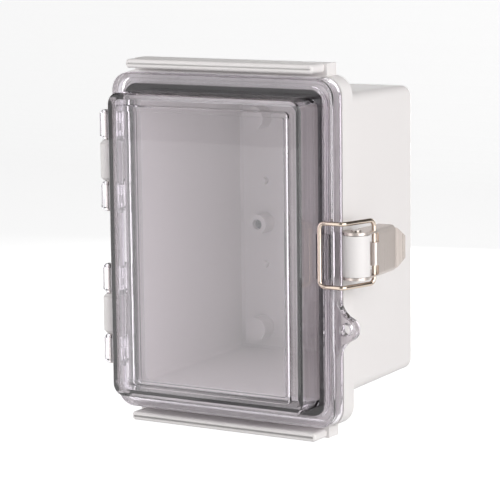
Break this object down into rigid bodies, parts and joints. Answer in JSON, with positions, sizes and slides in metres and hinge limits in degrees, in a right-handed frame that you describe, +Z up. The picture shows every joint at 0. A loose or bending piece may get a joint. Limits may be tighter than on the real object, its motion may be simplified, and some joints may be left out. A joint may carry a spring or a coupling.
{
  "type": "hinged enclosure",
  "caption": "Wall-mounted deep plastic enclosure with a clear hinged door, raised window, sealing gasket and an over-centre wire toggle latch.",
  "frame": {"origin": "centre of the flat back face that lies on the wall", "axes": "+Y out of the back into the wall, -Y the way the door faces, +Z up, +X to the right of someone facing the door"},
  "size_m": [0.1393, 0.113, 0.1668],
  "materials": {
    "case_plastic": "light grey moulded polycarbonate, satin",
    "clear_plastic": "clear polycarbonate, faintly blue, polished",
    "seal": "dark foamed rubber",
    "steel_pin": "plain stainless pin",
    "steel_sheet": "pressed stainless sheet",
    "steel_wire": "polished stainless wire",
    "brass_insert": "plain brass"
  },
  "bodies": {
    "case": {"base": "case_plastic", "top_rail_strip": "case_plastic", "bottom_rail_strip": "case_plastic", "hinge_pin_upper": "steel_pin", "hinge_pin_lower": "steel_pin", "latch_pin": "steel_pin", "wall_insert_upper_left": "brass_insert", "wall_insert_upper_right": "brass_insert", "wall_insert_lower_left": "brass_insert", "wall_insert_lower_right": "brass_insert", "plate_insert_left": "brass_insert", "plate_insert_right": "brass_insert"},
    "door_leaf": {"door": "clear_plastic", "gasket": "seal"},
    "lever": {"latch_lever": "steel_sheet"},
    "bail": {"latch_bail": "steel_wire"}
  },
  "joints": [
    {"name": "door_hinge", "type": "hinge", "parent": "case", "child": "door_leaf", "pos_m": [-0.0642, -0.0896, 0], "axis": [0, 0, -1], "range_deg": [0, 180]},
    {"name": "lever_hinge", "type": "hinge", "parent": "case", "child": "lever", "pos_m": [0.0638, -0.0871, 0], "axis": [0, 0, -1], "range_deg": [0, 150]},
    {"name": "bail_hinge", "type": "hinge", "parent": "lever", "child": "bail", "pos_m": [0.0684, -0.07913, 0], "axis": [0, 0, -1], "range_deg": [-181, 0.5]}
  ],
  "couplings": [
    {"joint": "bail_hinge", "follows": "lever_hinge", "ratio": -1.2}
  ]
}
